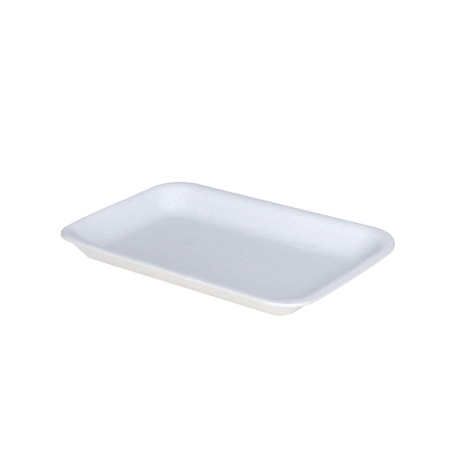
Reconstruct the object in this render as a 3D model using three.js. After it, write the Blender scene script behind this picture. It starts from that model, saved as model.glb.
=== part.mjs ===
import * as THREE from 'three';

// Foam meat tray: one thermoformed sheet of polystyrene foam with a level lip, sloping walls
// and a flat floor. Millimetres, +Z up, +X along the tray, origin at the middle of the foot.

// Rim, seen from above
const trayLength = 210;
const trayWidth = 148;
const rimCornerRadius = 27;

// Height of the lip at the middle of each side, and how much higher the corners stand
const trayHeight = 21.2;
const cornerLift = 1.3;
const liftSharpness = 3;

// Floor and foot: distance in from the rim at the long sides and at the ends
const floorInsetSide = 31;
const floorInsetEnd = 25;
const floorCornerRadius = 11.5;
const footInsetSide = 26;
const footInsetEnd = 20;
const footCornerRadius = 9;

// Foam thickness, and the rounding of the cut edge
const floorThickness = 3.2;
const edgeThickness = 3;
const edgeRounding = 0.8;

// Level lip and the bends of the inner and the outer skin
const lipWidth = 1;
const flareRadius = 10;
const floorFilletRadius = 20;
const underFlareRadius = 6;
const footFilletRadius = 10;

// Steps of the mesh
const cornerSteps = 9;
const sideSteps = 12;
const bendDivisions = 2;
const roundingSteps = 3;

// Each skin ends on a flat: the inner one on the floor, the outer one on the foot
const floorFlat = {
  height: floorThickness,
  insetSide: floorInsetSide,
  insetEnd: floorInsetEnd,
  cornerRadius: floorCornerRadius,
};
const footFlat = {
  height: 0,
  insetSide: footInsetSide,
  insetEnd: footInsetEnd,
  cornerRadius: footCornerRadius,
};

// Section of one skin at a long side, from the lip down to its flat: level lip, flare,
// straight wall and bend. The wall is the line that touches both arcs.
function skinSection(flat, lipHeight, lipBend, flatBend) {
  const lipEnd = edgeRounding + lipWidth;
  const run = flat.insetSide - lipEnd;
  const drop = lipHeight - flat.height;
  const bendRoom = (0.95 * (run * run + drop * drop)) / (2 * drop);
  const bendScale = Math.min(1, bendRoom / (lipBend + flatBend));
  const lipRadius = lipBend * bendScale;
  const flatRadius = flatBend * bendScale;
  const lipCentre = new THREE.Vector2(lipEnd, lipHeight - lipRadius);
  const flatCentre = new THREE.Vector2(flat.insetSide, flat.height + flatRadius);
  const across = flatCentre.clone().sub(lipCentre);
  const tilt = Math.atan2(across.y, across.x);
  const slope = Math.asin((lipRadius + flatRadius) / across.length()) - tilt;
  const up = Math.PI / 2;
  const section = new THREE.Path();
  section.moveTo(edgeRounding, lipHeight);
  section.absarc(lipCentre.x, lipCentre.y, lipRadius, up, up - slope, true);
  section.absarc(flatCentre.x, flatCentre.y, flatRadius, -up - slope, -up, false);
  return section.getPoints(bendDivisions);
}

// Quarter circle of the cut edge, from its level end to its upright end
function edgeSection(centreHeight, levelAngle) {
  const radius = edgeRounding;
  const arc = new THREE.EllipseCurve(
    radius, centreHeight, radius, radius, levelAngle, Math.PI, levelAngle > Math.PI,
  );
  return arc.getPoints(roundingSteps).slice(1);
}

// Rounded rectangle, anticlockwise from above
function outline(halfLength, halfWidth, radius) {
  const quarter = Math.PI / 2;
  const signs = [[1, 1], [-1, 1], [-1, -1], [1, -1]];
  const corners = signs.map(([signX, signY], turn) => new THREE.EllipseCurve(
    signX * (halfLength - radius), signY * (halfWidth - radius), radius, radius,
    turn * quarter, (turn + 1) * quarter,
  ).getPoints(cornerSteps));
  return corners.flatMap((corner, turn) => {
    const next = corners[(turn + 1) % corners.length][0];
    const side = new THREE.LineCurve(corner[cornerSteps], next);
    return [...corner, ...side.getPoints(sideSteps).slice(1, -1)];
  });
}

// One level turn of a skin around the tray, at a point of its section. The lift fades out
// from the corners to the middle of each side, and from the lip down to the flat.
function ring(point, flat) {
  const share = point.x / flat.insetSide;
  const halfLength = trayLength / 2 - share * flat.insetEnd;
  const halfWidth = trayWidth / 2 - point.x;
  const radius = THREE.MathUtils.lerp(rimCornerRadius, flat.cornerRadius, share);
  const lift = (cornerLift * (point.y - flat.height)) / (trayHeight - flat.height);
  const points = outline(halfLength, halfWidth, radius);
  const cornermost = Math.max(...points.map(({ x, y }) => x * y));
  return points.map(({ x, y }) => {
    const nearCorner = Math.abs(x * y) / cornermost;
    return new THREE.Vector3(x, y, point.y + lift * nearCorner ** liftSharpness);
  });
}

// The closed skin: floor, inner wall, lip, cut edge, outer wall and foot
function trayGeometry() {
  const underside = trayHeight - edgeThickness;
  const inner = skinSection(floorFlat, trayHeight, flareRadius, floorFilletRadius);
  const outer = skinSection(footFlat, underside, underFlareRadius, footFilletRadius);
  const upperEdge = edgeSection(trayHeight - edgeRounding, Math.PI / 2);
  const lowerEdge = edgeSection(underside + edgeRounding, 1.5 * Math.PI);
  const rings = [
    ...inner.reverse().map((point) => ring(point, floorFlat)),
    ...upperEdge.map((point) => ring(point, floorFlat)),
    ...lowerEdge.reverse().map((point) => ring(point, footFlat)),
    ...outer.map((point) => ring(point, footFlat)),
  ];
  const around = rings[0].length;
  const indices = [];
  for (let level = 0; level + 1 < rings.length; level += 1) {
    for (let step = 0; step < around; step += 1) {
      const here = level * around + step;
      const beside = level * around + ((step + 1) % around);
      indices.push(here, here + around, beside);
      indices.push(beside, here + around, beside + around);
    }
  }
  const lastRing = (rings.length - 1) * around;
  for (const [a, b, c] of THREE.ShapeUtils.triangulateShape(rings[0], [])) {
    indices.push(a, b, c);
  }
  for (const [a, b, c] of THREE.ShapeUtils.triangulateShape(rings.at(-1), [])) {
    indices.push(lastRing + c, lastRing + b, lastRing + a);
  }
  const geometry = new THREE.BufferGeometry().setFromPoints(rings.flat());
  geometry.setIndex(indices);
  geometry.computeVertexNormals();
  return geometry;
}

const foam = new THREE.MeshStandardMaterial({ color: 0xdfe3ea, roughness: 0.85, metalness: 0 });
const tray = new THREE.Mesh(trayGeometry(), foam);
tray.name = 'foam_tray';

const part = new THREE.Group();
part.add(tray);

export default part;
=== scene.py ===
"""Foam meat tray: finely meshed foam skin in soft studio light, seen from the photograph's angle."""
import math

import bmesh
import bpy
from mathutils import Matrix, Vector, noise


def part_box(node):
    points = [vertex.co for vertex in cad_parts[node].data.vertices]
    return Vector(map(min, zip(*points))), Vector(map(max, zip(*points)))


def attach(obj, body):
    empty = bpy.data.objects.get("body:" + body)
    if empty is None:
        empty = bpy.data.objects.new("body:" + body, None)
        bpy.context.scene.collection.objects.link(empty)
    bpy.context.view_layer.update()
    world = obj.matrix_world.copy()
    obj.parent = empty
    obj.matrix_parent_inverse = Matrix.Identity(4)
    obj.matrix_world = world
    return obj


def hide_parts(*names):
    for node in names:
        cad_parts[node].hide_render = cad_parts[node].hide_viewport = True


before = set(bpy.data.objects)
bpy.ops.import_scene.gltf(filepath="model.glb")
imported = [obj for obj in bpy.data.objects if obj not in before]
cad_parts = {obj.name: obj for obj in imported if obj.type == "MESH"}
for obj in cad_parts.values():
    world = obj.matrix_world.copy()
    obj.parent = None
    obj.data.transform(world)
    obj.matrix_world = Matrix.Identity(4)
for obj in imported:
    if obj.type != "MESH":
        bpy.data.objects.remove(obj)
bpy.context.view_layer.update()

# Overall size, from the solid
BOX_LOW, BOX_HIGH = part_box("foam_tray")
LENGTH = BOX_HIGH.x - BOX_LOW.x
WIDTH = BOX_HIGH.y - BOX_LOW.y
TOP = BOX_HIGH.z

# Section, in metres; insets are measured in from the rim
FLOOR_INSET_SIDE = 0.0295
FLOOR_INSET_END = 0.0238
FLOOR_CORNER_RADIUS = 0.0115
FOOT_INSET_SIDE = 0.0256
FOOT_INSET_END = 0.02
FOOT_CORNER_RADIUS = 0.009
FLOOR_THICKNESS = 0.0032
EDGE_THICKNESS = 0.003
EDGE_ROUNDING = 0.0008
LIP_WIDTH = 0.001
FLARE_RADIUS = 0.01
FLOOR_FILLET_RADIUS = 0.015
UNDER_FLARE_RADIUS = 0.0035
FOOT_FILLET_RADIUS = 0.009

# The tray is a little out of true, to follow the photograph. Its corners, anticlockwise from the
# one at +X +Y: the rim's radius there, and how far the corner is moved along X and along Y.
CORNER_SIGNS = ((1, 1), (-1, 1), (-1, -1), (1, -1))
RIM_RADII = (0.0292, 0.0256, 0.0135, 0.024)
CORNER_SHIFTS = ((0, 0), (0, 0), (0.0045, 0.0054), (0, 0))

# Its lip: mean height, rise towards every corner, twist between diagonals, and rise at the middle
# of each side
LIP_HEIGHT = 0.021
CORNER_RISE = 0.0008
CORNER_SHARPNESS = 3
LIP_TWIST = 0.0007
RISE_RIGHT = -0.0015
RISE_LEFT = 0.0003
RISE_BACK = 0.0006
RISE_FRONT = 0.00095

# Its walls: how far the front one bows in at the lip, how far it draws in below the lip towards
# the left, and how far each skin draws in below the lip at the right-hand end
FRONT_HOLLOW = 0.0007
FRONT_SLANT = 0.0012
FLOOR_RIGHT_SLANT = 0.0003
FOOT_RIGHT_SLANT = 0.0018

# Its lip is wider at the right-hand end, where the edge also droops. Walls and floor stand
# TRIM_SHIFT to the left under the rim, fully so from TRIM_SHARE of the section on, and the droop
# fades out over DROOP_SHARE of the section.
TRIM_SHIFT = 0.0026
TRIM_SHARE = 0.3
EDGE_DROOP = 0.001
DROOP_SHARE = 0.2

# Unevenness of the lip, as height and length of its waves
LIP_WAVE = 0.00012
LIP_WAVE_LENGTH = 0.03

# Steps of the fine mesh, and what a flat's outline shrinks to along X and Y at its middle
CORNER_STEPS = 20
SIDE_STEPS = 44
BEND_STEPS = 10
WALL_STEPS = 6
ROUNDING_STEPS = 4
FLAT_STEPS = 14
FLAT_CORE = (0.5, 0.02)

# Camera, fitted to the photograph
CAMERA_AZIMUTH = math.radians(35.8)
CAMERA_ELEVATION = math.radians(21.94)
CAMERA_DISTANCE = 1.004
CAMERA_LENS = 111.9
SENSOR_WIDTH = 36.0
AIM_RIGHT = 0.00122
AIM_UP = 0.02493

# Light: cool soft sky, and lamps given as name, azimuth, elevation, distance, size, power, colour
SKY_COLOUR = (0.87, 0.9, 1.0, 1)
SKY_STRENGTH = 0.47
LAMPS = (
    ("key", 38, 12, 1.6, 0.9, 10, (1.0, 0.985, 0.95)),
    ("side", 64, 40, 0.75, 0.5, 1.7, (1.0, 1.0, 1.0)),
    ("front", 5, 5, 1.6, 0.9, 7.2, (1.0, 0.985, 0.9)),
)

# Ground: the warm colour that lights the tray, and the near white that is seen
GROUND_SIZE = 40
GROUND_COLOUR = (0.9, 0.83, 0.72, 1)
GROUND_ROUGHNESS = 0.9
SEEN_GROUND = (0.5, 0.5, 0.5, 1)
SEEN_GLOW = 0.78
WHITE = (1, 1, 1, 1)

# Colours of the foam
SKIN_COLOUR = (0.85, 0.87, 0.915, 1)
SKIN_SHADE = (0.808, 0.832, 0.888, 1)
SKIN_STREAK = (0.875, 0.885, 0.92, 1)
SKIN_GRAIN = (0.925, 0.93, 0.96, 1)
SKIN_PIT = (0.74, 0.77, 0.835, 1)
CUT_COLOUR = (0.8, 0.815, 0.855, 1)
CUT_SHADE = (0.7, 0.715, 0.755, 1)

# Patterns of the foam: how many waves or cells to a metre, and how much detail the noise has
BLOTCH_SCALE = 60
BLOTCH_DETAIL = 4
STREAK_STRETCH = (26, 26, 620)
STREAK_DETAIL = 3
GRAIN_SCALE = 900
GRAIN_DETAIL = 2
PIT_SCALE = 480
PIT_DETAIL = 3
CELL_SCALE = 760
CELL_SMOOTHNESS = 0.35
CUT_CELL_SCALE = 1500
CUT_GRAIN_SCALE = 1300
CUT_GRAIN_DETAIL = 3

# Which range of each pattern shows, and how strongly it shows at most
NOISE_RANGE = (0.3, 0.7)
GRAIN_RANGE = (0.5, 0.7)
PIT_RANGE = (0.5, 0.72)
BORDER_RANGE = (0.5, 0.8)
CUT_CELL_RANGE = (0.25, 0.75)
STREAK_SHARE = 0.35
GRAIN_SHARE = 0.8
PIT_SHARE = 0.5
BORDER_SHARE = 0.4

# Surface: roughness, specular level, the shares of cells and grain in the relief, and its depth
# and strength
SKIN_ROUGHNESS = (0.5, 0.68)
SKIN_SPECULAR = 0.35
SKIN_RELIEF = (-0.7, 0.5)
SKIN_DEPTH = 0.00016
SKIN_STRENGTH = 0.55
CUT_ROUGHNESS = (0.75, 0.92)
CUT_SPECULAR = 0.2
CUT_RELIEF = (-1, 0.4)
CUT_DEPTH = 0.00025
CUT_STRENGTH = 0.7

# The two marks on the floor: place, radius, softness of the border and colour
SMUDGE_PLACE = (-0.0399, 0.0078, 0.0032)
SMUDGE_RADIUS = 0.0036
SMUDGE_SOFTNESS = 0.0034
SMUDGE_SHARE = 0.32
SMUDGE_COLOUR = (0.7, 0.72, 0.76, 1)
SPECK_PLACE = (0.0081, 0.0127, 0.0032)
SPECK_RADIUS = 0.0005
SPECK_SOFTNESS = 0.0003
SPECK_COLOUR = (0.45, 0.44, 0.43, 1)

# Each skin ends on a flat: the inner one on the floor, the outer one on the foot
FLOOR_FLAT = {
    "height": FLOOR_THICKNESS,
    "inset_side": FLOOR_INSET_SIDE,
    "inset_end": FLOOR_INSET_END,
    "corner_radius": FLOOR_CORNER_RADIUS,
    "right_slant": FLOOR_RIGHT_SLANT,
}
FOOT_FLAT = {
    "height": 0.0,
    "inset_side": FOOT_INSET_SIDE,
    "inset_end": FOOT_INSET_END,
    "corner_radius": FOOT_CORNER_RADIUS,
    "right_slant": FOOT_RIGHT_SLANT,
}


def arc(centre, radius, start, end, steps):
    """Points of a circular arc in the section's plane."""
    angles = [start + (end - start) * step / steps for step in range(steps + 1)]
    return [centre + radius * Vector((math.cos(a), math.sin(a))) for a in angles]


def skin_section(flat, lip_height, lip_bend, flat_bend):
    """One skin at a long side, from the lip down to its flat, as (inset from the rim, height)."""
    lip_end = EDGE_ROUNDING + LIP_WIDTH
    lip_centre = Vector((lip_end, lip_height - lip_bend))
    flat_centre = Vector((flat["inset_side"], flat["height"] + flat_bend))
    across = flat_centre - lip_centre
    slope = math.asin((lip_bend + flat_bend) / across.length) - math.atan2(across.y, across.x)
    up = math.pi / 2
    flare = arc(lip_centre, lip_bend, up, up - slope, BEND_STEPS)
    bend = arc(flat_centre, flat_bend, -up - slope, -up, BEND_STEPS)
    wall = [flare[-1].lerp(bend[0], step / WALL_STEPS) for step in range(1, WALL_STEPS)]
    return [Vector((EDGE_ROUNDING, lip_height))] + flare + wall + bend


def outline(half_length, half_width, radii):
    """A rounded rectangle, anticlockwise from above, with its own radius at each corner."""
    quarter = math.pi / 2
    corners = []
    for turn, ((x, y), radius) in enumerate(zip(CORNER_SIGNS, radii)):
        centre = Vector((x * (half_length - radius), y * (half_width - radius)))
        corners.append(arc(centre, radius, turn * quarter, (turn + 1) * quarter, CORNER_STEPS))
    points = []
    for corner, following in zip(corners, corners[1:] + corners[:1]):
        points += corner
        points += [corner[-1].lerp(following[0], step / SIDE_STEPS) for step in range(1, SIDE_STEPS)]
    return points


def lip_rise(u, v, corner):
    """How far the lip stands above its mean height.

    u and v give the place in the unit square, and corner the nearness to a corner.
    """
    end = (RISE_RIGHT if u > 0 else RISE_LEFT) * abs(u) ** 3 * (1 - v * v)
    side = (RISE_BACK if v > 0 else RISE_FRONT) * abs(v) ** 3 * (1 - u * u)
    return CORNER_RISE * corner + LIP_TWIST * u * v + end + side


def lip_wave(point):
    """Smooth unevenness of the lip."""
    place = Vector((point.x / LIP_WAVE_LENGTH, point.y / LIP_WAVE_LENGTH, 0))
    return LIP_WAVE * noise.noise(place)


def ring(point, flat):
    """One turn of a skin around the tray, at a point of its section."""
    inset, height = point
    share = inset / flat["inset_side"]
    half_length = LENGTH / 2 - share * flat["inset_end"]
    half_width = WIDTH / 2 - inset
    radii = [radius + (flat["corner_radius"] - radius) * share for radius in RIM_RADII]
    below_lip = min(share / TRIM_SHARE, 1)
    middle = -TRIM_SHIFT * below_lip * (2 - below_lip)
    raised = (height - flat["height"]) / (LIP_HEIGHT - flat["height"])
    near_edge = max(1 - share / DROOP_SHARE, 0) ** 2
    points = outline(half_length, half_width, radii)
    cornermost = max(abs(p.x * p.y) for p in points)
    turn = []
    for p in points:
        u = p.x / half_length
        v = p.y / half_width
        corner = (abs(p.x * p.y) / cornermost) ** CORNER_SHARPNESS
        signs = (1 if u > 0 else -1, 1 if v > 0 else -1)
        shift_x, shift_y = CORNER_SHIFTS[CORNER_SIGNS.index(signs)]
        x = p.x + middle + raised * corner * shift_x
        x -= flat["right_slant"] * below_lip * max(u, 0)
        y = p.y + raised * corner * shift_y
        if v < 0:
            y += raised * FRONT_HOLLOW * (1 - u * u) * abs(v) ** 3
            y += FRONT_SLANT * below_lip * abs(v) * (1 - u) / 2
        droop = EDGE_DROOP * max(u, 0) ** 3 * (1 - v * v) * near_edge
        z = height + raised * (lip_rise(u, v, corner) + lip_wave(p) - droop)
        turn.append(Vector((x, y, min(z, TOP))))
    return turn


def flat_rings(edge):
    """Rings that shrink from a flat's outline towards its middle line."""
    core_x, core_y = FLAT_CORE
    inner = [Vector((p.x * core_x, p.y * core_y, p.z)) for p in edge]
    steps = range(1, FLAT_STEPS + 1)
    return [[p.lerp(q, step / FLAT_STEPS) for p, q in zip(edge, inner)] for step in steps]


def tray_rings():
    """All turns of the closed skin, from the middle of the floor over the rim to the middle of the foot.

    Also gives the first and the last turn of the cut edge.
    """
    underside = LIP_HEIGHT - EDGE_THICKNESS
    inner_section = skin_section(FLOOR_FLAT, LIP_HEIGHT, FLARE_RADIUS, FLOOR_FILLET_RADIUS)
    outer_section = skin_section(FOOT_FLAT, underside, UNDER_FLARE_RADIUS, FOOT_FILLET_RADIUS)
    inner = [ring(p, FLOOR_FLAT) for p in inner_section]
    outer = [ring(p, FOOT_FLAT) for p in outer_section]
    high = Vector((EDGE_ROUNDING, LIP_HEIGHT - EDGE_ROUNDING))
    low = Vector((EDGE_ROUNDING, underside + EDGE_ROUNDING))
    up = math.pi / 2
    upper_section = arc(high, EDGE_ROUNDING, up, 2 * up, ROUNDING_STEPS)[1:]
    lower_section = arc(low, EDGE_ROUNDING, 2 * up, 3 * up, ROUNDING_STEPS)[:-1]
    cut_edge = [ring(p, FLOOR_FLAT) for p in upper_section]
    cut_edge += [ring(p, FOOT_FLAT) for p in lower_section]
    inside = flat_rings(inner[-1])[::-1] + inner[::-1]
    outside = outer + flat_rings(outer[-1])
    cut_range = (len(inside) - 1, len(inside) + len(cut_edge) - 1)
    return inside + cut_edge + outside, cut_range


def build_tray():
    """The closed skin as one mesh: slot 0 is the moulded skin and slot 1 the cut edge."""
    rings, (cut_start, cut_end) = tray_rings()
    around = len(rings[0])
    mesh = bpy.data.meshes.new("foam_skin")
    bm = bmesh.new()
    grid = [[bm.verts.new(p) for p in turn] for turn in rings]
    for level, (inner, outer) in enumerate(zip(grid, grid[1:])):
        for step in range(around):
            following = (step + 1) % around
            corners = (inner[step], outer[step], outer[following], inner[following])
            face = bm.faces.new(corners)
            face.material_index = 1 if cut_start <= level < cut_end else 0
    bm.faces.new(grid[0])
    bm.faces.new(grid[-1][::-1])
    bmesh.ops.triangulate(bm, faces=[f for f in bm.faces if len(f.verts) > 4])
    for face in bm.faces:
        face.smooth = True
    bm.to_mesh(mesh)
    bm.free()
    tray = bpy.data.objects.new("foam_skin", mesh)
    bpy.context.scene.collection.objects.link(tray)
    return tray


def new_material(name):
    """A material with its node tree and its main shader."""
    material = bpy.data.materials.new(name)
    material.use_nodes = True
    return material, material.node_tree, material.node_tree.nodes["Principled BSDF"]


def object_place(tree, stretch):
    """Object coordinates in metres, times stretch."""
    place = tree.nodes.new("ShaderNodeTexCoord")
    mapping = tree.nodes.new("ShaderNodeMapping")
    mapping.inputs["Scale"].default_value = stretch
    tree.links.new(place.outputs["Object"], mapping.inputs["Vector"])
    return mapping.outputs["Vector"]


def mottle(tree, scale, detail, stretch=(1, 1, 1)):
    """Soft noise around 0.5, with scale times stretch waves to a metre."""
    texture = tree.nodes.new("ShaderNodeTexNoise")
    texture.inputs["Scale"].default_value = scale
    texture.inputs["Detail"].default_value = detail
    tree.links.new(object_place(tree, stretch), texture.inputs["Vector"])
    return texture.outputs["Fac"]


def cells(tree, scale):
    """Foam cells: 0 at the middle of a cell, rising towards its border."""
    texture = tree.nodes.new("ShaderNodeTexVoronoi")
    texture.feature = "SMOOTH_F1"
    texture.inputs["Scale"].default_value = scale
    texture.inputs["Smoothness"].default_value = CELL_SMOOTHNESS
    tree.links.new(object_place(tree, (1, 1, 1)), texture.inputs["Vector"])
    return texture.outputs["Distance"]


def spread(tree, value, old_range, new_range):
    """Maps one range of a value onto another, and holds it at the ends."""
    node = tree.nodes.new("ShaderNodeMapRange")
    names = ("From Min", "From Max", "To Min", "To Max")
    for name, number in zip(names, (*old_range, *new_range)):
        node.inputs[name].default_value = number
    tree.links.new(value, node.inputs["Value"])
    return node.outputs["Result"]


def calculate(tree, operation, first, second):
    """Result of one operation on two values, each a socket or a number."""
    node = tree.nodes.new("ShaderNodeMath")
    node.operation = operation
    for slot, value in zip(node.inputs, (first, second)):
        if isinstance(value, (int, float)):
            slot.default_value = value
        else:
            tree.links.new(value, slot)
    return node.outputs["Value"]


def tint(tree, share, first, second):
    """Colour that goes from first to second, each a colour or the socket of one."""
    node = tree.nodes.new("ShaderNodeMix")
    node.data_type = "RGBA"
    tree.links.new(share, node.inputs["Factor"])
    slots = [socket for socket in node.inputs if socket.type == "RGBA"]
    for slot, colour in zip(slots, (first, second)):
        if isinstance(colour, tuple):
            slot.default_value = colour
        else:
            tree.links.new(colour, slot)
    return [socket for socket in node.outputs if socket.type == "RGBA"][0]


def spot(tree, centre, radius, softness):
    """1 inside a round mark around centre, fading to 0 outside it."""
    place = tree.nodes.new("ShaderNodeTexCoord")
    away = tree.nodes.new("ShaderNodeVectorMath")
    away.operation = "DISTANCE"
    away.inputs[1].default_value = centre
    tree.links.new(place.outputs["Object"], away.inputs[0])
    return spread(tree, away.outputs["Value"], (radius - softness, radius + softness), (1, 0))


def relief(tree, shader, patterns, shares, depth, strength):
    """Bump from two patterns, with the depth in metres."""
    parts = [calculate(tree, "MULTIPLY", pattern, share) for pattern, share in zip(patterns, shares)]
    bump = tree.nodes.new("ShaderNodeBump")
    bump.inputs["Strength"].default_value = strength
    bump.inputs["Distance"].default_value = depth
    tree.links.new(calculate(tree, "ADD", *parts), bump.inputs["Height"])
    tree.links.new(bump.outputs["Normal"], shader.inputs["Normal"])


def skin_material():
    """Moulded skin: closed cells under a thin satin film, faintly blotched and streaked."""
    material, tree, shader = new_material("foam_skin")
    blotches = spread(tree, mottle(tree, BLOTCH_SCALE, BLOTCH_DETAIL), NOISE_RANGE, (0, 1))
    streaks = spread(tree, mottle(tree, 1, STREAK_DETAIL, STREAK_STRETCH), NOISE_RANGE, (0, STREAK_SHARE))
    fine = mottle(tree, GRAIN_SCALE, GRAIN_DETAIL)
    grain = spread(tree, fine, GRAIN_RANGE, (0, GRAIN_SHARE))
    pits = spread(tree, mottle(tree, PIT_SCALE, PIT_DETAIL), PIT_RANGE, (0, PIT_SHARE))
    cell = cells(tree, CELL_SCALE)
    borders = spread(tree, cell, BORDER_RANGE, (0, BORDER_SHARE))
    smudge = spot(tree, SMUDGE_PLACE, SMUDGE_RADIUS, SMUDGE_SOFTNESS)
    speck = spot(tree, SPECK_PLACE, SPECK_RADIUS, SPECK_SOFTNESS)
    colour = tint(tree, blotches, SKIN_SHADE, SKIN_COLOUR)
    colour = tint(tree, streaks, colour, SKIN_STREAK)
    colour = tint(tree, grain, colour, SKIN_GRAIN)
    colour = tint(tree, pits, colour, SKIN_PIT)
    colour = tint(tree, borders, colour, SKIN_SHADE)
    colour = tint(tree, calculate(tree, "MULTIPLY", smudge, SMUDGE_SHARE), colour, SMUDGE_COLOUR)
    colour = tint(tree, speck, colour, SPECK_COLOUR)
    tree.links.new(colour, shader.inputs["Base Color"])
    tree.links.new(spread(tree, fine, NOISE_RANGE, SKIN_ROUGHNESS), shader.inputs["Roughness"])
    shader.inputs["Specular IOR Level"].default_value = SKIN_SPECULAR
    relief(tree, shader, (cell, fine), SKIN_RELIEF, SKIN_DEPTH, SKIN_STRENGTH)
    return material


def cut_material():
    """Cut edge of the lip: open cells, rougher than the skin."""
    material, tree, shader = new_material("foam_cut_edge")
    cell = cells(tree, CUT_CELL_SCALE)
    fine = mottle(tree, CUT_GRAIN_SCALE, CUT_GRAIN_DETAIL)
    colour = tint(tree, spread(tree, cell, CUT_CELL_RANGE, (0, 1)), CUT_COLOUR, CUT_SHADE)
    tree.links.new(colour, shader.inputs["Base Color"])
    tree.links.new(spread(tree, fine, NOISE_RANGE, CUT_ROUGHNESS), shader.inputs["Roughness"])
    shader.inputs["Specular IOR Level"].default_value = CUT_SPECULAR
    relief(tree, shader, (cell, fine), CUT_RELIEF, CUT_DEPTH, CUT_STRENGTH)
    return material


def direction(azimuth, elevation):
    """Unit vector from the tray towards a viewer or a lamp; azimuth turns from -Y towards +X."""
    level = math.cos(elevation)
    return Vector((math.sin(azimuth) * level, -math.cos(azimuth) * level, math.sin(elevation)))


def make_camera():
    """Camera at the photograph's angle, aimed a little beside the origin for its framing."""
    data = bpy.data.cameras.new("camera")
    data.lens = CAMERA_LENS
    data.sensor_width = SENSOR_WIDTH
    camera = bpy.data.objects.new("camera", data)
    bpy.context.scene.collection.objects.link(camera)
    back = direction(CAMERA_AZIMUTH, CAMERA_ELEVATION)
    right = Vector((math.cos(CAMERA_AZIMUTH), math.sin(CAMERA_AZIMUTH), 0))
    up = back.cross(right)
    aim = right * AIM_RIGHT + up * AIM_UP
    camera.location = aim + back * CAMERA_DISTANCE
    camera.rotation_euler = (-back).to_track_quat("-Z", "Y").to_euler()
    bpy.context.scene.camera = camera


def seen_directly(tree):
    """1 for camera, glossy and transmission rays, and 0 for the light that falls on the tray."""
    paths = tree.nodes.new("ShaderNodeLightPath")
    glossy = paths.outputs["Is Glossy Ray"]
    mirrored = calculate(tree, "MAXIMUM", glossy, paths.outputs["Is Transmission Ray"])
    return calculate(tree, "MAXIMUM", paths.outputs["Is Camera Ray"], mirrored)


def choose(tree, share, first, second):
    """Shader that goes from first to second."""
    mix = tree.nodes.new("ShaderNodeMixShader")
    tree.links.new(share, mix.inputs[0])
    tree.links.new(first, mix.inputs[1])
    tree.links.new(second, mix.inputs[2])
    return mix.outputs[0]


def make_world():
    """Cool soft sky that lights the tray, and white where it is seen."""
    world = bpy.data.worlds.new("studio")
    world.use_nodes = True
    bpy.context.scene.world = world
    tree = world.node_tree
    sky = tree.nodes["Background"]
    sky.inputs["Color"].default_value = SKY_COLOUR
    sky.inputs["Strength"].default_value = SKY_STRENGTH
    white = tree.nodes.new("ShaderNodeBackground")
    white.inputs["Color"].default_value = WHITE
    white.inputs["Strength"].default_value = 1
    shown = choose(tree, seen_directly(tree), sky.outputs[0], white.outputs[0])
    tree.links.new(shown, tree.nodes["World Output"].inputs["Surface"])


def make_floor():
    """Plain pale floor: warm in the light it throws up, near white with the tray's shadow as seen."""
    bpy.ops.mesh.primitive_plane_add(size=GROUND_SIZE, location=(0, 0, 0))
    floor = bpy.context.object
    floor.name = "floor"
    material, tree, shader = new_material("floor")
    shader.inputs["Base Color"].default_value = GROUND_COLOUR
    shader.inputs["Roughness"].default_value = GROUND_ROUGHNESS
    pale = tree.nodes.new("ShaderNodeBsdfDiffuse")
    pale.inputs["Color"].default_value = SEEN_GROUND
    glow = tree.nodes.new("ShaderNodeEmission")
    glow.inputs["Strength"].default_value = SEEN_GLOW
    add = tree.nodes.new("ShaderNodeAddShader")
    tree.links.new(pale.outputs[0], add.inputs[0])
    tree.links.new(glow.outputs[0], add.inputs[1])
    shown = choose(tree, seen_directly(tree), shader.outputs[0], add.outputs[0])
    tree.links.new(shown, tree.nodes["Material Output"].inputs["Surface"])
    floor.data.materials.append(material)


def area_lamp(name, azimuth, elevation, distance, size, power, colour):
    """Square lamp that faces the tray; azimuth and elevation are in degrees."""
    data = bpy.data.lights.new(name, "AREA")
    data.size = size
    data.energy = power
    data.color = colour
    lamp = bpy.data.objects.new(name, data)
    back = direction(math.radians(azimuth), math.radians(elevation))
    lamp.location = back * distance
    lamp.rotation_euler = (-back).to_track_quat("-Z", "Y").to_euler()
    bpy.context.scene.collection.objects.link(lamp)


tray = build_tray()
tray.data.materials.append(skin_material())
tray.data.materials.append(cut_material())
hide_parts("foam_tray")
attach(tray, "root")

make_world()
make_floor()
for lamp in LAMPS:
    area_lamp(*lamp)
make_camera()
bpy.context.scene.view_settings.view_transform = "Standard"
